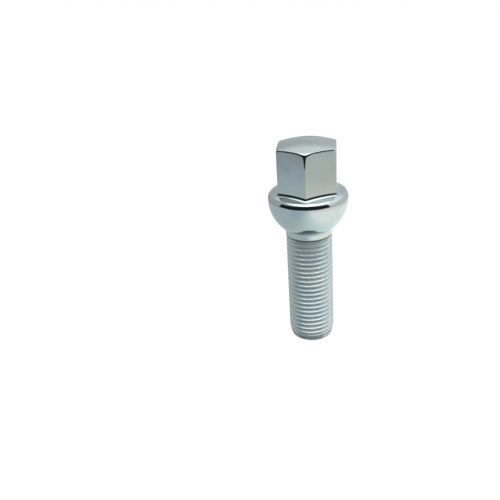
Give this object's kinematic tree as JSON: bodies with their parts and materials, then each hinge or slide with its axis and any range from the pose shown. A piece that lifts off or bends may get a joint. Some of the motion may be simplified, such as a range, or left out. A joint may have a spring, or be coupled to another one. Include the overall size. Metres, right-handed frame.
{
  "type": "wheel bolt",
  "caption": "One-piece wheel bolt: fine-threaded shank with a chamfered tip, ball seat under a sloping collar, tall hexagon head with a shallow domed top.",
  "frame": {"origin": "centre of the flat tip face, on the bolt's axis", "axes": "+Z along the axis from the threaded tip to the domed head; two opposite hexagon flats face +X and -X"},
  "size_m": [0.024, 0.024, 0.0638],
  "materials": {
    "zinc_plated_steel": "bright zinc plating, smooth and glossy, faintly blue"
  },
  "bodies": {
    "root": {"wheel_bolt": "zinc_plated_steel"}
  },
  "joints": []
}
